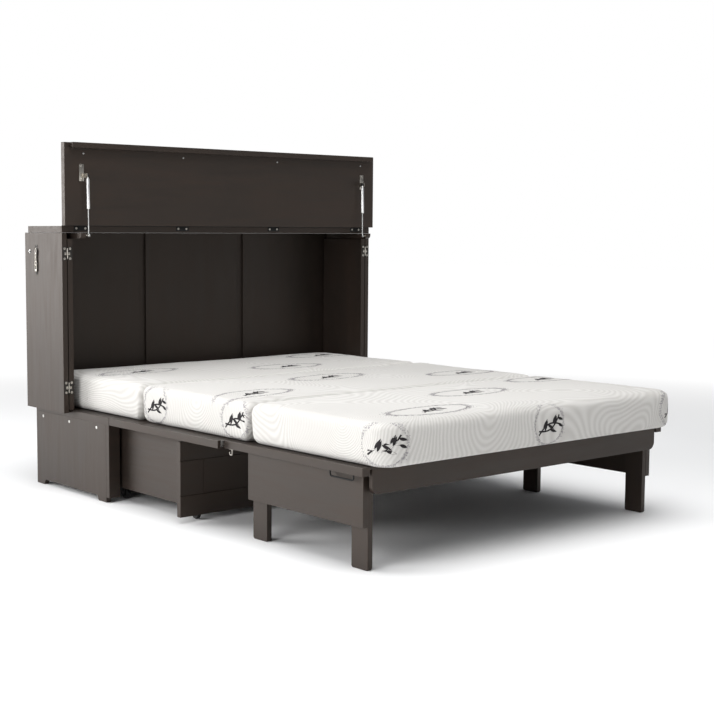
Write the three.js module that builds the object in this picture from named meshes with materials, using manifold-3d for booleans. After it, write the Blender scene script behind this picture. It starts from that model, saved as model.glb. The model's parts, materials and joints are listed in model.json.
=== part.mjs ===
// Murphy cabinet bed, standing open: a half-depth cabinet on a drawer base, a two-part fold-out
// platform with folding leg frames, and a mattress in three sections.
// Millimetres, +Z up. +X is the sleeper's left when lying down, -Y points from the cabinet to the foot.
// Heights and depths below are written from the floor and from the cabinet's rear face (y = 0).
// The exported group is then moved along Y, so that the origin is under the middle of the open bed.
import * as THREE from 'three';
import { mergeVertices } from 'three/addons/utils/BufferGeometryUtils.js';
import Module from 'manifold-3d';

const wasm = await Module();
wasm.setup();

// ---- driving dimensions -------------------------------------------------------------------
const touch = 0.3; // gap left between pieces that touch
const board = 22; // wood board thickness

const cabinetWidth = 1676; // over the side panels
const cabinetDepth = 310; // side panels, front to back
const ceilingHeight = 1066; // underside of the top slab
const slabThickness = 27;
const panelOverlap = 8; // side panels reach this far below the deck's top
const slabSetback = 28; // slab's rear edge, forward of the side panels'

const baseWidth = 1600;
const baseDepth = 592;
const baseRear = 8; // base's rear face, forward of the side panels'
const footHeight = 20; // clearance under the base
const deckHeight = 340; // top of the platforms
const railHeight = 28;
const railWidth = 32;
const stileWidth = 50; // base front, beside the drawer
const lintelHeight = 12; // base front, above the drawer

const wingDepth = 278;
const wingHeight = 696;
const wingFloorGap = 4; // wing's lower edge above the deck
const hingeGap = 4; // between side panel and folded wing

const flapLength = 332;
const flapThickness = 26;
const lipHeight = 26;
const lipThickness = 22;
const lipInset = 25;

const platformLength = 724; // middle platform
const footPlatformLength = 724;
const footPlatformWidth = 1548;
const panelThickness = 25;
const footDeckThickness = 8;
const footRailHeight = 82;
const footRailThickness = 16;
const footRailInset = 42; // each end, in from the foot platform's side
const footRailCorner = 28; // radius of its lower corners

const apronHeight = 171;
const apronLength = 594;
const apronInset = 29; // apron's face, in from the foot platform's side
const apronFrontGap = 12; // between apron and foot rail
const legWidth = 77;
const legThickness = 21;
const legTopGap = 11; // leg's top below the foot platform's rails
const legEndInset = 1; // leg's outer edge, in from the apron's end

const grooveWidth = 4;
const grooveDepth = 3;
const brickHeight = 130;
const brickLength = 461;
const firstGroove = 104; // height of the lowest level groove above the floor

const drawerTravel = 466;
const drawerFrontWidth = 1592;
const drawerFrontBottom = 24;
const drawerFrontGap = 7.7; // drawer front's top below the deck rails
const drawerBoxDepth = 540;
const drawerTopGap = 4.7; // drawer box's top below the lintel
const drawerBoxBottom = 54;
const drawerSide = 18;
const drawerSideGap = 14; // between drawer box and stile
const drawerBottomThickness = 12;

const wheelRadius = 20;
const wheelWidth = 16;
const axleRadius = 3;
const forkThickness = 2;
const casterBarDepth = 40;
const casterInset = 26; // wheel centre, in from the drawer side
const casterEndInset = 24; // caster bar's middle, in from the drawer box's ends

const mattressWidth = 1524;
const mattressThickness = 152;
const mattressRear = 70; // head end's distance from the cabinet's rear face
const headLength = 680;
const midLength = 682;
const footLength = 690;
const mattressGap = 2;
const mattressEdge = 12; // rounding of its long edges

const strutBallHeight = 202; // upper ball above the flap's pivot
const strutBallReach = 50; // upper ball forward of the flap's pivot
const strutFootDrop = 38; // lower ball below the flap's pivot
const strutFootReach = 54;
const strutCylinder = 122;
const strutStroke = 91;
const strutInset = 92; // strut's plane, in from the cabinet's side
const eyeRadius = 6.5;
const eyeWidth = 8;

// ---- derived places -----------------------------------------------------------------------
const halfWidth = cabinetWidth / 2;
const halfBase = baseWidth / 2;
const halfFoot = footPlatformWidth / 2;
const slabTop = ceilingHeight + slabThickness;
const railBottom = deckHeight - railHeight;
const panelBottom = deckHeight - panelOverlap;
const pivotGap = 1.5;
const frontY = -cabinetDepth;
const pivotY = frontY - pivotGap; // flap and wing pivots
const platformPivotY = -baseDepth - 1;
const platformRearY = platformPivotY - 1;
const platformFrontY = platformRearY - platformLength;
const footPivotY = platformFrontY - 1;
const footRearY = footPivotY - 1;
const footFrontY = footRearY - footPlatformLength;
const backWallY = -slabSetback + 2; // front face of the back wall
const openLength = mattressRear + headLength + midLength + footLength + 2 * mattressGap;

// ---- materials ----------------------------------------------------------------------------
const finish = (color, roughness, metalness) =>
  new THREE.MeshStandardMaterial({ color, roughness, metalness });
const wood = finish(0x6b615b, 0.55, 0);
const darkWood = finish(0x3a332f, 0.6, 0);
const nickel = finish(0xb8b6b0, 0.3, 1);
const blackMetal = finish(0x1b1b1c, 0.45, 0.8);
const caster = finish(0x141414, 0.6, 0);
const knit = finish(0xf1f0ec, 0.9, 0);

// ---- building helpers ---------------------------------------------------------------------
const bed = new THREE.Group();
bed.position.y = openLength / 2;

function place(name, geometry, material, position = [0, 0, 0]) {
  const mesh = new THREE.Mesh(geometry, material);
  mesh.name = name;
  mesh.position.set(...position);
  bed.add(mesh);
  return mesh;
}

// A block between two corners.
function block([x0, x1], [y0, y1], [z0, z1]) {
  const size = [x1 - x0, y1 - y0, z1 - z0].map(Math.abs);
  const geometry = new THREE.BoxGeometry(...size);
  return geometry.translate((x0 + x1) / 2, (y0 + y1) / 2, (z0 + z1) / 2);
}

// A rod of round section along X, Y or Z.
function rod(radius, axis, [from, to], [a, b], sides = 16) {
  const geometry = new THREE.CylinderGeometry(radius, radius, Math.abs(to - from), sides);
  const middle = (from + to) / 2;
  if (axis === 'x') return geometry.rotateZ(Math.PI / 2).translate(middle, a, b);
  if (axis === 'y') return geometry.translate(a, middle, b);
  return geometry.rotateX(Math.PI / 2).translate(a, b, middle);
}

// An outline in the Y-Z plane, drawn as (y, z) and extruded along X.
function extrudeX(shape, [x0, x1], curveSegments = 6) {
  const options = { depth: x1 - x0, bevelEnabled: false, curveSegments };
  const turn = new THREE.Matrix4().makeBasis(
    new THREE.Vector3(0, 1, 0), new THREE.Vector3(0, 0, 1), new THREE.Vector3(1, 0, 0));
  return new THREE.ExtrudeGeometry(shape, options).applyMatrix4(turn).translate(x0, 0, 0);
}

function solid(geometry) {
  const bare = geometry.clone();
  for (const name of ['normal', 'uv']) bare.deleteAttribute(name);
  const closed = mergeVertices(bare, 1e-4);
  return new wasm.Manifold(new wasm.Mesh({
    numProp: 3,
    vertProperties: new Float32Array(closed.attributes.position.array),
    triVerts: new Uint32Array(closed.index.array),
  }));
}

function geometryOf(manifold) {
  const mesh = manifold.getMesh();
  const geometry = new THREE.BufferGeometry();
  geometry.setAttribute('position', new THREE.BufferAttribute(mesh.vertProperties, 3));
  geometry.setIndex(new THREE.BufferAttribute(mesh.triVerts, 1));
  return geometry;
}

const join = (...geometries) =>
  geometryOf(geometries.map(solid).reduce((whole, piece) => whole.add(piece)));

const cut = (geometry, tools) =>
  geometryOf(tools.map(solid).reduce((whole, tool) => whole.subtract(tool), solid(geometry)));

// A span on one side of the middle plane: side -1 is left (-X), side 1 is right.
const onSide = (side, inner, outer) => [side * inner, side * outer].sort((a, b) => a - b);

const sides = [['left', -1], ['right', 1]];

// ---- brick grooves ------------------------------------------------------------------------
// Grooves for a panel that stands, when closed, between two heights. turn(u, low, high) gives the
// block of a groove that spans u along X and low to high in closed height.
function brickGrooves(halfPanel, bottom, top, turn) {
  const tools = [];
  const firstRow = Math.floor((bottom - firstGroove) / brickHeight);
  for (let row = firstRow; firstGroove + row * brickHeight < top; row += 1) {
    const low = firstGroove + row * brickHeight;
    const high = low + brickHeight;
    if (low > bottom + grooveWidth) {
      tools.push(turn([-halfPanel - 1, halfPanel + 1], low - grooveWidth / 2, low + grooveWidth / 2));
    }
    const shift = row % 2 === 0 ? brickLength / 2 : 0;
    for (let x = shift; x < halfPanel - grooveWidth; x += brickLength) {
      for (const centre of x === 0 ? [0] : [-x, x]) {
        const span = [centre - grooveWidth / 2, centre + grooveWidth / 2];
        tools.push(turn(span, Math.max(low, bottom - 1), Math.min(high, top + 1)));
      }
    }
  }
  return tools;
}

// ---- drawer base --------------------------------------------------------------------------
const baseFront = -baseDepth;
const baseTop = railBottom - touch;
for (const [word, side] of sides) {
  const outline = new THREE.Shape();
  const rear = -baseRear;
  const footLengthY = 60;
  const y = [rear, baseFront + board + touch];
  outline.moveTo(y[0], baseTop);
  outline.lineTo(y[1], baseTop);
  outline.lineTo(y[1], 0);
  outline.lineTo(y[1] + footLengthY, 0);
  outline.lineTo(y[1] + footLengthY + footHeight / 2, footHeight);
  outline.lineTo(y[0] - footLengthY - footHeight / 2, footHeight);
  outline.lineTo(y[0] - footLengthY, 0);
  outline.lineTo(y[0], 0);
  outline.closePath();
  place(`base_side_${word}`, extrudeX(outline, onSide(side, halfBase - board, halfBase)), wood);

  const rail = block(onSide(side, halfBase - railWidth, halfBase),
    [rear, baseFront], [railBottom, deckHeight]);
  const ledge = block(onSide(side, halfBase - 1, halfWidth - board - touch),
    [rear, frontY + 10], [panelBottom + touch, deckHeight - touch]);
  place(`head_rail_${word}`, join(rail, ledge), wood);
}
const innerBase = halfBase - board - touch;
place('base_back', block([-innerBase, innerBase], [-baseRear, -baseRear - board],
  [footHeight, baseTop]), darkWood);

const opening = halfBase - stileWidth;
const faceFrame = cut(
  block([-halfBase, halfBase], [baseFront, baseFront + board], [footHeight, baseTop]),
  [block([-opening, opening], [baseFront - 5, baseFront + board + 5], [0, baseTop - lintelHeight])]);
place('face_frame', faceFrame, darkWood);

const innerRail = halfBase - railWidth - touch;
place('head_deck', block([-innerRail, innerRail], [-baseRear, baseFront],
  [railBottom, deckHeight]), darkWood);

// ---- cabinet shell ------------------------------------------------------------------------
const panelTop = ceilingHeight - touch;
for (const [word, side] of sides) {
  place(`side_panel_${word}`,
    block(onSide(side, halfWidth - board, halfWidth), [0, frontY], [panelBottom, panelTop]), wood);
}
place('top_slab', block([-halfWidth, halfWidth], [-slabSetback, frontY],
  [ceilingHeight, slabTop]), wood);

const wallInner = halfWidth - board - touch;
const backBoard = 8;
const backPanel = 10;
const backBottom = deckHeight + touch;
const backY = backWallY + backPanel + touch;
place('back_wall', cut(
  block([-wallInner, wallInner], [backWallY, backY + backBoard], [backBottom, panelTop]),
  [-1, 1].map((side) => block([side * 273 - 19, side * 273 + 19],
    [backWallY - 1, backWallY + backPanel], [backBottom - 1, panelTop + 1]))), darkWood);

// ---- wings --------------------------------------------------------------------------------
const wingBottom = deckHeight + wingFloorGap;
const wingOuter = halfWidth - board - hingeGap;
const wingPivotX = halfWidth - board - hingeGap / 2;
const leafHeight = 42;
const leafThickness = 1;
const hingeHeights = [wingBottom + 92, wingBottom + 638];
for (const [word, side] of sides) {
  place(`wing_${word}`, block(onSide(side, wingOuter - board, wingOuter),
    [frontY, frontY + wingDepth], [wingBottom, wingBottom + wingHeight]), wood);
  for (const [i, height] of hingeHeights.entries()) {
    const leaf = block(onSide(side, wingPivotX + 1, halfWidth - 3),
      [frontY - touch / 2, frontY - touch / 2 - leafThickness],
      [height - leafHeight / 2, height + leafHeight / 2]);
    const knuckle = rod(1.2, 'z', [height - leafHeight / 2, height + leafHeight / 2],
      [side * wingPivotX, pivotY + 0.5], 12);
    place(`wing_hinge_${word}_${i + 1}`, join(leaf, knuckle), nickel);
  }
}

// ---- lift-up flap and its struts ----------------------------------------------------------
const flapBottom = slabTop + pivotGap;
const flapFace = pivotY - flapThickness; // the flap's inner face, which looks at the foot end
place('flap_panel', block([-halfWidth, halfWidth], [flapFace, pivotY],
  [flapBottom, flapBottom + flapLength]), wood);
const lipHalf = halfWidth - lipInset;
place('flap_lip', block([-lipHalf, lipHalf], [flapFace - lipHeight, flapFace - touch],
  [flapBottom + flapLength - lipThickness, flapBottom + flapLength]), wood);

const upperBall = [pivotY - strutBallReach, slabTop + strutBallHeight];
const lowerBall = [pivotY - strutFootReach, slabTop - strutFootDrop];
const strutAngle = Math.atan2(upperBall[0] - lowerBall[0], upperBall[1] - lowerBall[1]);
const strutX = halfWidth - strutInset;
const strutLength = Math.hypot(upperBall[0] - lowerBall[0], upperBall[1] - lowerBall[1]);
const rodRadius = 3;
const cylinderRadius = 7;
const cylinderTop = -eyeRadius - 6; // below the upper ball, along the strut
const rodHidden = strutCylinder - strutStroke - 11; // rod inside the cylinder when extended

// The strut is drawn hanging down from its upper ball and then tilted to meet the lower one.
const tilted = (geometry, x) =>
  geometry.rotateX(-strutAngle).translate(x, upperBall[0], upperBall[1]);

for (const [word, side] of sides) {
  const x = side * strutX;
  const eye = [-eyeWidth / 2, eyeWidth / 2];
  const shell = cut(rod(cylinderRadius, 'z', [cylinderTop - strutCylinder, cylinderTop], [0, 0]),
    [rod(rodRadius + 0.6, 'z', [cylinderTop - strutCylinder - 1, cylinderTop - 6], [0, 0])]);
  const neck = rod(4, 'z', [cylinderTop - 2, 0], [0, 0]);
  place(`strut_cylinder_${word}`,
    tilted(join(shell, neck, rod(eyeRadius, 'x', eye, [0, 0])), x), nickel);
  const rodTop = cylinderTop - strutCylinder + rodHidden;
  place(`strut_rod_${word}`, tilted(join(rod(rodRadius, 'z', [-strutLength, rodTop], [0, 0]),
    rod(eyeRadius, 'x', eye, [0, -strutLength])), x), blackMetal);

  const earOuter = strutX + eyeWidth / 2 + touch;
  const plate = block(onSide(side, earOuter, earOuter + 22), [flapFace - touch, flapFace - 3.5],
    [upperBall[1] - 22, upperBall[1] + 46]);
  const ear = block(onSide(side, earOuter, earOuter + 3), [flapFace - touch, upperBall[0] - 8],
    [upperBall[1] - 10, upperBall[1] + 10]);
  place(`strut_bracket_${word}`, join(plate, ear), nickel);

  const blockInner = strutX + 18;
  const blockTop = ceilingHeight - touch;
  const blockBottom = wingBottom + wingHeight + 2;
  const blockFront = frontY - 66;
  const outline = new THREE.Shape();
  outline.moveTo(frontY + 70, blockBottom);
  outline.lineTo(frontY + 70, blockTop);
  outline.lineTo(blockFront, blockTop);
  outline.lineTo(blockFront, blockBottom + 16);
  outline.absarc(blockFront + 16, blockBottom + 16, 16, Math.PI, 1.5 * Math.PI, false);
  outline.closePath();
  place(`strut_block_${word}`, extrudeX(outline, onSide(side, blockInner, blockInner + 24)), wood);
}

// ---- side latches -------------------------------------------------------------------------
const latchY = -100;
const latchBottom = 893;
const latchHeight = 123;
const latchPlate = 3;
const leverThickness = 6;
for (const [word, side] of sides) {
  const face = halfWidth + touch;
  const plate = block(onSide(side, face, face + latchPlate), [latchY - 13, latchY + 13],
    [latchBottom, latchBottom + latchHeight]);
  place(`latch_plate_${word}`, plate, blackMetal);
  const lift = face + latchPlate + touch;
  const lever = new THREE.Shape();
  lever.absarc(latchY, latchBottom + latchHeight - 22, 9, 0, Math.PI, false);
  lever.absarc(latchY, latchBottom + 18, 6, Math.PI, 2 * Math.PI, false);
  lever.closePath();
  place(`latch_lever_${word}`, extrudeX(lever, onSide(side, lift, lift + leverThickness)), nickel);
}

// ---- middle platform, the front of the closed cabinet -------------------------------------
const closedHeight = (y) => deckHeight + (platformPivotY - y);
const platformY = [platformFrontY, platformRearY];
for (const [word, side] of sides) {
  place(`platform_rail_${word}`,
    block(onSide(side, halfBase - railWidth, halfBase), platformY, [railBottom, deckHeight]), wood);
}
const panelUnder = deckHeight - panelThickness;
const toPlatformY = (height) => platformPivotY + deckHeight - height;
const platformGrooves = brickGrooves(innerRail,
  closedHeight(platformRearY), closedHeight(platformFrontY), (span, low, high) =>
    block(span, [toPlatformY(high), toPlatformY(low)], [panelUnder - 1, panelUnder + grooveDepth]));
place('platform_panel',
  cut(block([-innerRail, innerRail], platformY, [panelUnder, deckHeight]), platformGrooves), darkWood);

// ---- foot platform ------------------------------------------------------------------------
const footY = [footFrontY, footRearY];
const innerFoot = halfFoot - railWidth - touch;
const footBeamRear = footFrontY + footRailThickness;
for (const [word, side] of sides) {
  place(`foot_platform_rail_${word}`,
    block(onSide(side, halfFoot - railWidth, halfFoot), footY, [railBottom, deckHeight]), wood);
}
place('foot_platform_deck', block([-innerFoot, innerFoot], footY,
  [deckHeight - footDeckThickness, deckHeight]), darkWood);

const beamTop = deckHeight - footDeckThickness - touch;
const beamBottom = beamTop - footRailHeight;
const beamHalf = halfFoot - footRailInset;
const beam = new THREE.Shape();
beam.moveTo(beamHalf, beamTop);
beam.lineTo(-beamHalf, beamTop);
const cornerX = beamHalf - footRailCorner;
const cornerZ = beamBottom + footRailCorner;
beam.absarc(-cornerX, cornerZ, footRailCorner, Math.PI, 1.5 * Math.PI);
beam.absarc(cornerX, cornerZ, footRailCorner, 1.5 * Math.PI, 2 * Math.PI);
beam.closePath();
const beamGeometry = new THREE.ExtrudeGeometry(beam,
  { depth: footRailThickness, bevelEnabled: false, curveSegments: 8 });
place('foot_rail', beamGeometry.rotateX(Math.PI / 2).translate(0, footBeamRear, 0), wood);

// ---- folding leg frames -------------------------------------------------------------------
const apronOuter = halfFoot - apronInset;
const apronInner = apronOuter - board;
const apronFront = footBeamRear + apronFrontGap;
const apronRear = apronFront + apronLength;
const apronTop = railBottom - touch;
const legOuter = apronInner - touch;
const legTop = railBottom - legTopGap;
for (const [word, side] of sides) {
  const chamfer = 5;
  const outline = new THREE.Shape();
  outline.moveTo(apronFront, apronTop);
  outline.lineTo(apronFront, apronTop - apronHeight);
  outline.lineTo(apronRear, apronTop - apronHeight);
  outline.lineTo(apronRear, apronTop - chamfer);
  outline.lineTo(apronRear - chamfer, apronTop);
  outline.closePath();
  place(`apron_${word}`, extrudeX(outline, onSide(side, apronInner, apronOuter)), wood);
  const legs = [['front', apronFront + legEndInset], ['rear', apronRear - legEndInset - legWidth]];
  for (const [end, low] of legs) {
    const foot = 5;
    const leg = new THREE.Shape();
    leg.moveTo(low, legTop);
    leg.lineTo(low, foot);
    leg.lineTo(low + foot, 0);
    leg.lineTo(low + legWidth - foot, 0);
    leg.lineTo(low + legWidth, foot);
    leg.lineTo(low + legWidth, legTop);
    leg.closePath();
    place(`leg_${end}_${word}`, extrudeX(leg, onSide(side, legOuter - legThickness, legOuter)), wood);
  }
}

// ---- pull handles under the foot platform's rails -----------------------------------------
const handleSpan = 112;
const handleDrop = 20;
const handleRadius = 2.8;
const handleInset = 14; // wire's middle, in from the foot platform's side
const handleBend = 9;
const handleY = footFrontY + 57;
function handlePath(x) {
  const top = railBottom - touch;
  const path = new THREE.CurvePath();
  const point = (y, z) => new THREE.Vector3(x, y, z);
  const corners = [point(handleY, top), point(handleY, top - handleDrop),
    point(handleY + handleSpan, top - handleDrop), point(handleY + handleSpan, top)];
  const toward = (from, to) => from.clone().add(to.clone().sub(from).setLength(handleBend));
  let last = corners[0];
  for (const i of [1, 2]) {
    const before = toward(corners[i], corners[i - 1]);
    const after = toward(corners[i], corners[i + 1]);
    path.add(new THREE.LineCurve3(last, before));
    path.add(new THREE.QuadraticBezierCurve3(before, corners[i], after));
    last = after;
  }
  path.add(new THREE.LineCurve3(last, corners[3]));
  return path;
}
for (const [word, side] of sides) {
  const section = new THREE.Shape().absarc(0, 0, handleRadius, 0, 2 * Math.PI, false);
  const wire = new THREE.ExtrudeGeometry(section,
    { extrudePath: handlePath(side * (halfFoot - handleInset)), steps: 36,
      bevelEnabled: false, curveSegments: 5 });
  place(`handle_${word}`, wire, blackMetal);
}

// ---- roll-out drawer, pulled out ----------------------------------------------------------
const frontBack = baseFront - touch - drawerTravel; // rear face of the drawer front
const halfFront = drawerFrontWidth / 2;
const frontSpan = [drawerFrontBottom, baseTop - drawerFrontGap];
const drawerGrooves = brickGrooves(halfFront, ...frontSpan, (span, low, high) => block(span,
  [frontBack - board - 1, frontBack - board + grooveDepth], [low, high]));
const frontBlock = block([-halfFront, halfFront], [frontBack, frontBack - board], frontSpan);
place('drawer_front', cut(frontBlock, drawerGrooves), darkWood);

const boxHalf = opening - drawerSideGap;
const boxFront = frontBack + touch;
const boxRear = frontBack + drawerBoxDepth;
const boxSpan = [drawerBoxBottom, baseTop - lintelHeight - drawerTopGap];
for (const [word, side] of sides) {
  place(`drawer_side_${word}`, block(onSide(side, boxHalf - drawerSide, boxHalf),
    [boxFront, boxRear], boxSpan), wood);
}
const boxInner = boxHalf - drawerSide - touch;
const bottomZ = drawerBoxBottom + drawerBottomThickness;
place('drawer_back', block([-boxInner, boxInner], [boxRear - drawerSide, boxRear],
  [bottomZ + drawerBottomThickness + touch, boxSpan[1]]), wood);
place('drawer_bottom', block([-boxInner, boxInner], [boxFront, boxRear],
  [bottomZ, bottomZ + drawerBottomThickness]), wood);

// ---- casters ------------------------------------------------------------------------------
const wheelX = boxInner - casterInset;
const casterPlaces = [['front', boxFront + casterEndInset], ['rear', boxRear - casterEndInset]];
for (const [end, y] of casterPlaces) {
  const barBottom = 2 * wheelRadius + 6;
  const pieces = [block([-boxInner, boxInner], [y - casterBarDepth / 2, y + casterBarDepth / 2],
    [barBottom, bottomZ - touch])];
  for (const [, side] of sides) {
    const cheek = wheelWidth / 2 + 1;
    for (const hand of [-1, 1]) {
      const x = side * wheelX + hand * (cheek + forkThickness / 2);
      pieces.push(block([x - forkThickness / 2, x + forkThickness / 2],
        [y - 9, y + 9], [wheelRadius - 7, barBottom + 1]));
    }
    pieces.push(rod(axleRadius, 'x', [side * wheelX - cheek - 1, side * wheelX + cheek + 1],
      [y, wheelRadius], 12));
  }
  place(`caster_bar_${end}`, join(...pieces), blackMetal);
  for (const [word, side] of sides) {
    const bore = axleRadius + 0.3;
    const half = wheelWidth / 2;
    const profile = [[bore, -half], [wheelRadius - 2, -half], [wheelRadius, -half + 2],
      [wheelRadius, half - 2], [wheelRadius - 2, half], [bore, half], [bore, -half]];
    const wheel = new THREE.LatheGeometry(profile.map(([r, z]) => new THREE.Vector2(r, z)), 28);
    place(`wheel_${end}_${word}`, wheel.rotateZ(Math.PI / 2), caster, [side * wheelX, y, wheelRadius]);
  }
}

// ---- mattress in three sections -----------------------------------------------------------
function mattressSection(name, rear, length) {
  const half = mattressWidth / 2;
  const low = deckHeight + 0.4;
  const high = low + mattressThickness;
  const r = mattressEdge;
  const outline = new THREE.Shape();
  outline.absarc(half - r, low + r, r, -Math.PI / 2, 0, false);
  outline.absarc(half - r, high - r, r, 0, Math.PI / 2, false);
  outline.absarc(-half + r, high - r, r, Math.PI / 2, Math.PI, false);
  outline.absarc(-half + r, low + r, r, Math.PI, 1.5 * Math.PI, false);
  outline.closePath();
  const geometry = new THREE.ExtrudeGeometry(outline,
    { depth: length, bevelEnabled: false, curveSegments: 3 });
  place(name, geometry.rotateX(Math.PI / 2).translate(0, rear, 0), knit);
  return rear - length - mattressGap;
}
const midRear = mattressSection('mattress_head', -mattressRear, headLength);
const footSectionRear = mattressSection('mattress_middle', midRear, midLength);
mattressSection('mattress_foot', footSectionRear, footLength);

export default bed;
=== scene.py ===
"""Looks for the cabinet bed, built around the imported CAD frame. Metres, +Z up, -Y towards the foot.

Wood boards are bevelled copies of the CAD boards, hardware is turned and swept metal, and the
mattress is three puffed foam blocks in a ribbed knit cover with printed leaf sprigs.
"""
import json
import math
import random

import bmesh
import bpy
from mathutils import Matrix, Vector
from mathutils.bvhtree import BVHTree

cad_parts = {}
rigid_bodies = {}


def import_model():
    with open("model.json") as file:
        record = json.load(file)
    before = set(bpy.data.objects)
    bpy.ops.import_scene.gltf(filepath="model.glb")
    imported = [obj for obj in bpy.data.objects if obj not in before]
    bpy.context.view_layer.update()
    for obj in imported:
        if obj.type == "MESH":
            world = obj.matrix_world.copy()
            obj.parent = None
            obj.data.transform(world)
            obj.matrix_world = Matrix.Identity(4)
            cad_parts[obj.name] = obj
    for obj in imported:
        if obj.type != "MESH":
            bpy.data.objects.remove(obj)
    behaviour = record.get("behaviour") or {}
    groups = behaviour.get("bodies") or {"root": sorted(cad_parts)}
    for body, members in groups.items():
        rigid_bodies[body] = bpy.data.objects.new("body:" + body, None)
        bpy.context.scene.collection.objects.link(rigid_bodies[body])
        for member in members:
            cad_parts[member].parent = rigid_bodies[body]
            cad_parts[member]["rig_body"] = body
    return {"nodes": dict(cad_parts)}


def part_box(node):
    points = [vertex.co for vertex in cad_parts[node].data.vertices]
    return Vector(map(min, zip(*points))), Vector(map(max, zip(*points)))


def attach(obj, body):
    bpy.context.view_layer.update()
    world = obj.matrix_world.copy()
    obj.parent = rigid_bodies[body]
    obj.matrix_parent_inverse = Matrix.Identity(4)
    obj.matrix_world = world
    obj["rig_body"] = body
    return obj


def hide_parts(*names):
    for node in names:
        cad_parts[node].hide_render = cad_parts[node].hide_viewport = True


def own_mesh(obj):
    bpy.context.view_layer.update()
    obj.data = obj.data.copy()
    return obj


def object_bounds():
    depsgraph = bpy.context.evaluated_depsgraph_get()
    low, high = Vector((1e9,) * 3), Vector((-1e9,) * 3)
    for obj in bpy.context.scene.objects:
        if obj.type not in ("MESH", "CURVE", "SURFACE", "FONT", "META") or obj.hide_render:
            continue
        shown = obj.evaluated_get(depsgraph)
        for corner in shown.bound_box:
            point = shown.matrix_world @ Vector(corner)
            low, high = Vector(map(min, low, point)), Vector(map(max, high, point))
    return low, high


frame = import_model()
nodes = frame["nodes"]
cad_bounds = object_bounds()

SIDES = (("left", -1), ("right", 1))
X, Y, Z = Vector((1, 0, 0)), Vector((0, 1, 0)), Vector((0, 0, 1))


def mm(value):
    """Millimetres as metres."""
    return value / 1000


# ---- building helpers ---------------------------------------------------------------------


ROUND_BEVEL = 0.5
ON_AXIS = 1e-7


class Shape:
    """Collects closed solids in one mesh and turns them into one piece."""

    def __init__(self):
        self.mesh = bmesh.new()

    def block(self, low, high, bevel=mm(0.6)):
        """A box between two opposite corners, with eased edges."""
        low, high = Vector(map(min, low, high)), Vector(map(max, low, high))
        verts = bmesh.ops.create_cube(self.mesh, size=1)["verts"]
        size = high - low
        bmesh.ops.scale(self.mesh, verts=verts, vec=size)
        bmesh.ops.translate(self.mesh, verts=verts, vec=(low + high) / 2)
        edges = list(dict.fromkeys(e for v in verts for e in v.link_edges))
        width = min(bevel, min(size) / 3)
        bmesh.ops.bevel(self.mesh, geom=edges, offset=width, segments=2, affect="EDGES", profile=ROUND_BEVEL)

    def turned(self, profile, start, direction, segments=32):
        """A solid of revolution. profile is a list of (distance along direction, radius)."""
        turn = direction.to_track_quat("Z", "Y").to_matrix()
        rings = []
        for along, radius in profile:
            if radius < ON_AXIS:
                rings.append([self.mesh.verts.new(start + direction.normalized() * along)])
                continue
            angles = [2 * math.pi * i / segments for i in range(segments)]
            rings.append([self.mesh.verts.new(start + turn @ Vector(
                (radius * math.cos(a), radius * math.sin(a), along))) for a in angles])
        for low, high in zip(rings, rings[1:]):
            self._skin(low, high)
        for ring, flip in ((rings[0], True), (rings[-1], False)):
            if len(ring) > 1:
                self.mesh.faces.new(ring[::-1] if flip else ring)

    def pin(self, begin, end, radius, start, direction, segments):
        """A plain round bar, from begin to end as distances along direction from start."""
        self.turned([(begin, 0), (begin, radius), (end, radius), (end, 0)], start, direction, segments)

    def _skin(self, low, high):
        """Joins two rings of vertices; a ring of one vertex is a tip."""
        count = max(len(low), len(high))
        for i in range(count):
            j = (i + 1) % count
            corners = [low[i % len(low)], low[j % len(low)], high[j % len(high)], high[i % len(high)]]
            self.mesh.faces.new(list(dict.fromkeys(corners)))

    def tube(self, points, radius, sides=14):
        """A round wire through points, closed at both ends."""
        rings, turn = [], None
        for i, point in enumerate(points):
            ahead = (points[min(i + 1, len(points) - 1)] - points[max(i - 1, 0)]).normalized()
            if turn is None:
                turn = ahead.to_track_quat("Z", "Y")
            else:
                turn = (turn @ Z).rotation_difference(ahead) @ turn
            angles = [2 * math.pi * k / sides for k in range(sides)]
            rings.append([self.mesh.verts.new(point + turn @ Vector(
                (radius * math.cos(a), radius * math.sin(a), 0))) for a in angles])
        for low, high in zip(rings, rings[1:]):
            self._skin(low, high)
        self.mesh.faces.new(rings[0][::-1])
        self.mesh.faces.new(rings[-1])

    def prism(self, top, drop):
        """A closed thin solid under a flat loop of points."""
        upper = [self.mesh.verts.new(p) for p in top]
        lower = [self.mesh.verts.new(p + drop) for p in top]
        self.mesh.faces.new(upper)
        self.mesh.faces.new(lower[::-1])
        for i in range(len(top)):
            j = (i + 1) % len(top)
            self.mesh.faces.new([upper[j], upper[i], lower[i], lower[j]])

    def screw(self, spot, direction, radius, proud=mm(1.4)):
        """A round screw head that stands proud of spot, with a sunk middle."""
        root = -mm(0.5)
        profile = [(root, 0), (root, radius), (proud * 0.35, radius), (proud * 0.9, radius * 0.72),
                   (proud, radius * 0.42), (proud * 0.4, radius * 0.3), (proud * 0.4, 0)]
        self.turned(profile, spot, direction, 20)

    def piece(self, name, material, body, slot, *replaced, smooth=35):
        """Ends the shape: its mesh becomes a piece."""
        bmesh.ops.recalc_face_normals(self.mesh, faces=self.mesh.faces)
        mesh = bpy.data.meshes.new(name)
        self.mesh.to_mesh(mesh)
        self.mesh.free()
        return settle(name, mesh, material, body, slot, *replaced, smooth=smooth)


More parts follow.
